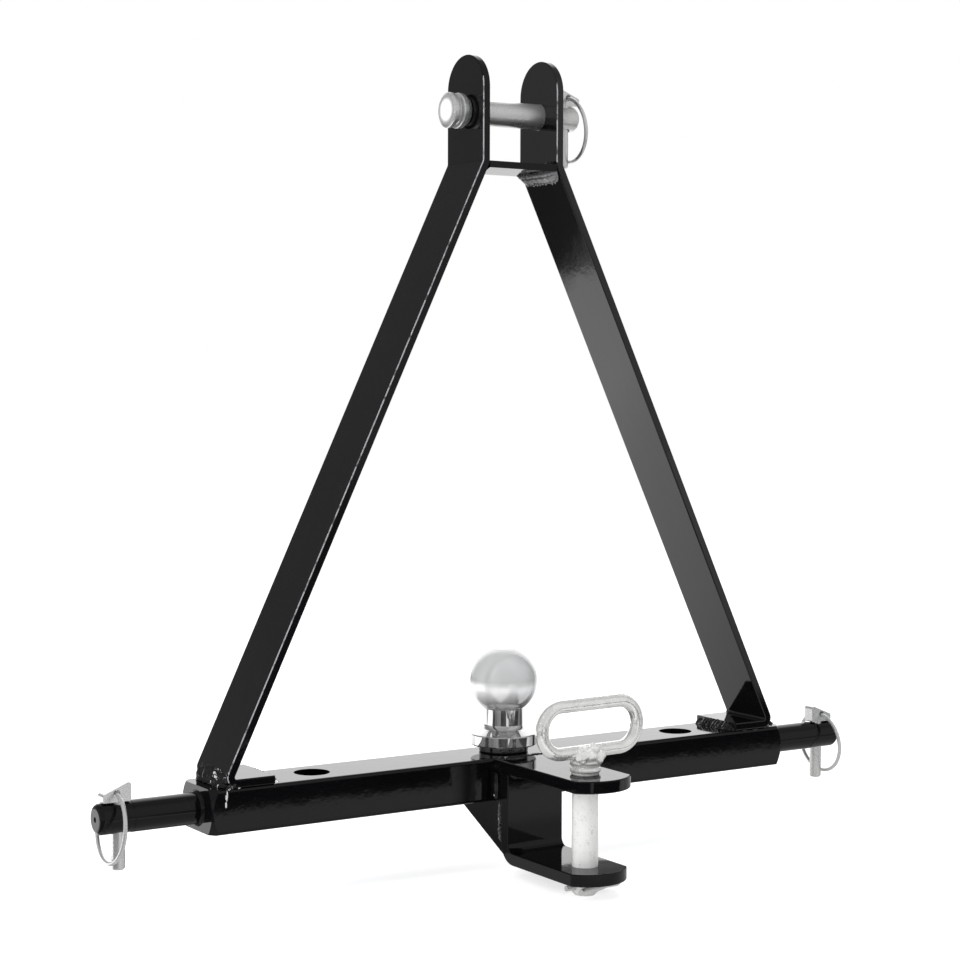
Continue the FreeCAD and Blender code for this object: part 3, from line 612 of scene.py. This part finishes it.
for side, hand, finish in ((-1, "left", foot_paint), (1, "right", seam_paint)):
    sheet = bmesh.new()
    lay_bead(
        sheet,
        (side * BEND_X, -FOOT_HALF, BAR_TOP - 0.3),
        ACROSS_FLAT,
        (side * 11.2, 0, 0),
        (side * 6.2, 0, 12.4),
        puddles=13,
        depth=0.24,
        crown=1.5,
        bow=1.2,
    )
    lay_bead(
        sheet,
        (side * TAB_END_X, -FOOT_HALF, BAR_TOP - 0.2),
        ACROSS_FLAT,
        (-side * 6.6, 0, 0),
        (0, 0, 6.4),
        puddles=11,
        depth=0.26,
        crown=1.5,
    )
    for centre, size, lumps in FOOT_DROPS[hand]:
        drop(sheet, centre, size, lumps)
    finish_piece("foot_beads_" + hand, sheet, finish, "frame", ["foot_weld_" + hand])

# %% [markdown]
# ## Beads at the mast's spacer
# Two thin beads hold the spacer plate from above, and one from below at its left end.
# The one under its right end is the rough heavy bead that shows below the ears. It has
# more grain and a stronger bow, so its ridges run askew. Three drops stand above the
# spacer at the same end.

# %% Mast
SPACER_TOP = 455.9
SPACER_UNDER = 451.2
sheet = bmesh.new()
for side in (-1, 1):
    lay_bead(
        sheet,
        (side * 29.6, -FOOT_HALF, SPACER_TOP),
        ACROSS_FLAT,
        (-side * 3.2, 0, 0),
        (0, 0, 3.2),
        puddles=14,
        crown=1.6,
    )
lay_bead(
    sheet,
    (29.9, -24.0, SPACER_UNDER + 0.1),
    (0, 48.0, 0),
    (-7.4, 0, 0),
    (4.4, 0, -8.6),
    puddles=12,
    depth=0.16,
    crown=1.5,
    bow=1.6,
    grain=0.16,
)
lay_bead(
    sheet,
    (-29.9, -FOOT_HALF, SPACER_UNDER),
    ACROSS_FLAT,
    (3.4, 0, 0),
    (-1.9, 0, -3.6),
    puddles=14,
    crown=1.6,
)
for y in (-21.5, -18.0, -13.5):
    drop(sheet, (28.6, y, 459.0 + 0.06 * y), (0.9, 1.2, 1.3), 0.5)
finish_piece("mast_beads", sheet, mast_paint, "frame", ["mast_weld"])

# %% [markdown]
# ## Beads on the clevis
# Beside the top plate a fat oval drop joins it to the bar, with two bright lumps above.
# Below it a flat bead with pinholes runs down between web and gusset to the bend. Two
# long beads run the width of the clevis: one under the plate, one on top of the bar.

# %% Clevis
CLEVIS_SIDE_X = 22.9
CLEVIS_HALF = 22.5
ACROSS_CLEVIS = (2 * CLEVIS_HALF, 0, 0)
sheet = bmesh.new()
for side in (-1, 1):
    lay_bead(
        sheet,
        (side * CLEVIS_SIDE_X, -24.6, 7.6),
        (0, 0, -22.0),
        (0, -4.8, 0),
        (side * 3.4, 0, 0),
        puddles=2,
        depth=0.05,
        crown=0.95,
        grain=0.05,
    )
    lay_bead(
        sheet,
        (side * CLEVIS_SIDE_X, -34.2, -13.8),
        (0, 0, -31.5),
        (0, 6.4, 0),
        (side * 1.6, 0, 0),
        puddles=9,
        depth=0.20,
        crown=1.2,
        bow=0.2,
    )
    drop(sheet, (side * 23.2, -25.6, 10.6), (1.7, 1.9, 2.3), 0.5)
    drop(sheet, (side * 23.4, -29.8, 11.8), (1.2, 1.9, 1.9), 0.5)
    drop(sheet, (side * 23.6, -26.8, 5.0), (1.1, 1.2, 1.2), 0.5)
lay_bead(
    sheet,
    (-CLEVIS_HALF, -42.9, 6.9),
    ACROSS_CLEVIS,
    (0, -4.2, 0),
    (0, 0, -4.2),
    puddles=12,
    crown=1.5,
)
lay_bead(
    sheet,
    (-CLEVIS_HALF, -27.4, BAR_TOP - 0.3),
    ACROSS_CLEVIS,
    (0, 5.0, 0),
    (0, 0.8, 1.1),
    puddles=14,
    depth=0.3,
    crown=0.9,
)
finish_piece("clevis_beads", sheet, seam_paint, "frame", ["clevis_weld"])

# %% [markdown]
# ## The weld under the pull handle
# The handle's bar sits on the drawbar pin in a lump of weld, all dipped in zinc. A
# collar, a rod with two soft swellings, stands on the clevis's top plate. The lump above
# it is one large drop with smaller ones pressed into its front. It turns with the pin,
# so it rides the pin's body and not the frame.

# %% Handle weld
PIN_Y = -106.5
COLLAR_FOOT = 16.3
COLLAR_HEIGHT = 9.5
COLLAR_RADIUS = 8.2
HANDLE_DROPS = (
    ((0, PIN_Y, 28.3), (11.6, 10.0, 5.6)),
    ((-7.0, PIN_Y - 5.5, 27.6), (5.0, 5.2, 4.2)),
    ((-1.0, PIN_Y - 8.0, 29.6), (5.6, 4.0, 4.4)),
    ((6.4, PIN_Y - 6.6, 27.9), (5.0, 4.8, 4.6)),
    ((9.0, PIN_Y - 2.0, 30.8), (4.6, 5.4, 4.4)),
    ((-9.2, PIN_Y + 1.0, 30.2), (4.2, 5.2, 4.0)),
    ((3.0, PIN_Y - 5.0, 33.6), (5.2, 3.4, 3.6)),
    ((-4.6, PIN_Y - 4.2, 33.2), (4.4, 3.4, 3.0)),
    ((2.0, PIN_Y + 7.0, 29.5), (7.5, 4.0, 4.6)),
)
sheet = bmesh.new()
for vert in unit_rod(sheet, 24, 48):
    height = vert.co.z
    side_on = Vector((vert.co.x, vert.co.y, 0))
    if side_on.length > 0.5:
        swelling = abs(math.sin(math.pi * (height * 2.0))) ** 0.5
        rim = max(1.0 - abs(2 * height - 1) ** 10, 0.05) ** 0.5
        lump = noise.noise(vert.co * 3.0)
        radius = COLLAR_RADIUS + 2.1 * swelling * rim + 0.35 * lump + 0.9 * rim
        side_on = side_on.normalized() * radius
    vert.co = (side_on + Vector((0, PIN_Y, COLLAR_FOOT + COLLAR_HEIGHT * height))) * MM
for centre, size in HANDLE_DROPS:
    drop(sheet, centre, size, 0.55)
finish_piece("handle_beads", sheet, lump_zinc, "drawbar_pin", ["drawbar_pin_weld"])

# %% [markdown]
# ## The studio's floor
# The photograph is a white studio. Its background is pure white, and the black gloss
# shows mostly what it mirrors: a bright wall behind, a darker room and table in front.
# Lamps and walls could be placed one by one for that. Here the floor is built for the
# mirrors instead, because one mask moves one reflection. Light Path sorts the rays. A
# camera ray sees an even white floor, and a glossy ray sees a table whose glow dips
# under the part, rises behind it and falls at the far edge. Plain shapes lie on it: a
# dark slab in front, a shaded square behind the bar, a dimmer left side with a bright
# patch, and dark spokes further out in front.

# %% Floor
FLOOR_SIZE = 6.0
FLOOR_GAP = 0.0004
floor_level = cad_box[0][2] - FLOOR_GAP
floor_mesh = bpy.data.meshes.new("floor")
sheet = bmesh.new()
bmesh.ops.create_grid(sheet, x_segments=1, y_segments=1, size=FLOOR_SIZE)
bmesh.ops.translate(sheet, verts=sheet.verts, vec=(0, 0, floor_level))
sheet.to_mesh(floor_mesh)
sheet.free()
floor = bpy.data.objects.new("floor", floor_mesh)
bpy.context.scene.collection.objects.link(floor)
print("floor level in metres:", round(floor_level, 4))

# %% What the gloss sees in the floor
TABLE_GLOW = 2.5
FAR_RIGHT_GLOW = 0.7
PATCH_GLOW = 1.5
SLAB_LOSS = 0.97
SHADE_LOSS = 0.7
LEFT_LOSS = 0.65
# The spokes start outside a ring. These are squares of its radius in metres.
RING_RIGHT = 0.40
RING_LEFT = 0.22

floor_finish, graph, place = new_finish("studio_floor")
along = place.axis("X")
across = place.axis("Y")
table = graph.ramp(
    across * 0.5 + 0.5,
    (0.20, 0.46),
    (0.385, 0.36),
    (0.405, 0.24),
    (0.54, 0.22),
    (0.56, 0.29),
    (0.64, 0.42),
    (0.75, 0.54),
    (0.82, 0.68),
    (0.93, 0.68),
    (0.965, 0.12),
)
slab = along.within(-0.12, 0.75) * across.within(-0.60, -0.335)
shade = along.within(-0.32, -0.03) * across.within(0.03, 0.24)
patch = along.within(-0.74, -0.30) * across.within(0.08, 0.52)
left_side = along < -0.36
far_right = (along > 0.5) * (across > 0.9)
compass = graph.node("ShaderNodeMath", {"operation": "ARCTAN2"}, {0: across, 1: along})
spokes = graph.ramp(
    compass * (0.5 / math.pi) + 0.5,
    (0.00, 1.0),
    (0.06, 0.8),
    (0.105, 1.0),
    (0.115, 0.05),
    (0.195, 0.05),
    (0.205, 1.0),
    (0.255, 1.0),
    (0.265, 0.12),
    (0.325, 0.12),
    (0.335, 0.9),
    (0.41, 0.3),
)
ring = RING_RIGHT - (along < -0.05) * (RING_RIGHT - RING_LEFT)
outside = (along * along + across * across > ring) * (across < 0.0)
glow = table * TABLE_GLOW + far_right * FAR_RIGHT_GLOW
glow = glow * (1.0 - slab * SLAB_LOSS) * (1.0 - shade * SHADE_LOSS)
glow = glow * (1.0 - left_side * LEFT_LOSS) + patch * PATCH_GLOW
glow = glow * (1.0 - outside + outside * spokes)
print("nodes that draw the floor:", len(graph.tree.nodes))

# %% A floor for each kind of ray
FLOOR_COLOUR = (0.74, 0.74, 0.74, 1)
WHITE = (1, 1, 1, 1)
CAMERA_GLOW = 0.62
seen = graph.node("ShaderNodeLightPath", out="Is Camera Ray")
mirrored = graph.node("ShaderNodeLightPath", out="Is Glossy Ray")
seen_glow = seen * CAMERA_GLOW
matt = graph.node("ShaderNodeBsdfDiffuse", {}, {"Color": FLOOR_COLOUR})
white = graph.node("ShaderNodeEmission", {}, {"Color": WHITE, "Strength": seen_glow})
pool = graph.node("ShaderNodeEmission", {}, {"Color": WHITE, "Strength": glow})
look = graph.node("ShaderNodeAddShader", {}, {0: matt, 1: white})
look = graph.node("ShaderNodeMixShader", {}, {0: mirrored, 1: look, 2: pool})
graph.node("ShaderNodeOutputMaterial", {}, {"Surface": look})
floor_mesh.materials.append(floor_finish)
print("stage:", floor.name)

# %% [markdown]
# ## The room
# The world does the same for what stands above the floor. For a glossy ray its
# brightness follows the direction: a plain room in front, darker at the sides, and a
# bright wall behind the part. The wall at the left is dimmer. A soft cloud keeps the
# reflections from being flat, and all other light is one plain grey.

# %% World
TO_BACK_WALL = (0.54, 0.84, 0.0)
ROOM_GLOW = 1.65
LEFT_WALL_LOSS = 0.30
ROOM_LIGHT = (0.55, 0.56, 0.58, 1)
world = bpy.data.worlds.new("studio")
bpy.context.scene.world = world
world.use_nodes = True
graph = Graph(world.node_tree)
direction = graph.node("ShaderNodeTexCoord", out="Generated")
height = direction.axis("Z")
toward = graph.node(
    "ShaderNodeVectorMath",
    {"operation": "DOT_PRODUCT"},
    {0: direction, 1: TO_BACK_WALL},
    out="Value",
)
room = graph.ramp(
    (toward + height * 0.3) * 0.5 + 0.5,
    (0.0, 0.39),
    (0.50, 0.38),
    (0.66, 0.23),
    (0.87, 0.21),
    (0.90, 0.62),
    (0.96, 1.0),
)
cloud = noise_on(graph, direction, 1.7, 2.0)
left_wall = (direction.axis("X") < 0.05) * graph.ramp(height, (0.14, 0.0), (0.28, 1.0))
studio = room * ROOM_GLOW * (0.88 + cloud * 0.24) * (1.0 - left_wall * LEFT_WALL_LOSS)
seen = graph.node("ShaderNodeLightPath", out="Is Camera Ray")
mirrored = graph.node("ShaderNodeLightPath", out="Is Glossy Ray")
light = graph.blend(mirrored, ROOM_LIGHT, studio)
light = graph.blend(seen, light, WHITE)
background = graph.node("ShaderNodeBackground", {}, {"Color": light, "Strength": 1.0})
graph.node("ShaderNodeOutputWorld", {}, {"Surface": background})
print("nodes that draw the world:", len(world.node_tree.nodes))

# %% [markdown]
# ## The lamps
# Three soft boxes light the part from above and from both sides. They are hidden from
# glossy rays, because the floor and the room already draw every reflection, and a
# lamp's sharp rectangle would be one more in the black enamel.

# %% Lamps
AIM = Vector((0, 0, 0.2))


def softbox(name, place_at, size, power):
    """A rectangular lamp, its size in metres and its power in watts."""
    lamp = bpy.data.lights.new(name, "AREA")
    lamp.shape = "RECTANGLE"
    lamp.size, lamp.size_y = size
    lamp.energy = power
    made = bpy.data.objects.new(name, lamp)
    made.location = place_at
    made.rotation_euler = (AIM - Vector(place_at)).to_track_quat("-Z", "Y").to_euler()
    made.visible_glossy = False
    bpy.context.scene.collection.objects.link(made)
    print("lamp:", name, power, "W")


softbox("overhead", (0.1, -0.2, 2.4), (2.4, 2.0), 28)
softbox("left_strip", (-1.9, -0.55, 1.0), (0.3, 2.2), 40)
softbox("right_strip", (1.9, -1.2, 1.0), (0.4, 1.6), 18)

# %% [markdown]
# ## The view transform
# No bead or drop reaches past the solids' overall box, which is printed at the start.
# The last cell sets the view transform to Standard.

# %% View transform
bpy.context.scene.view_settings.view_transform = "Standard"
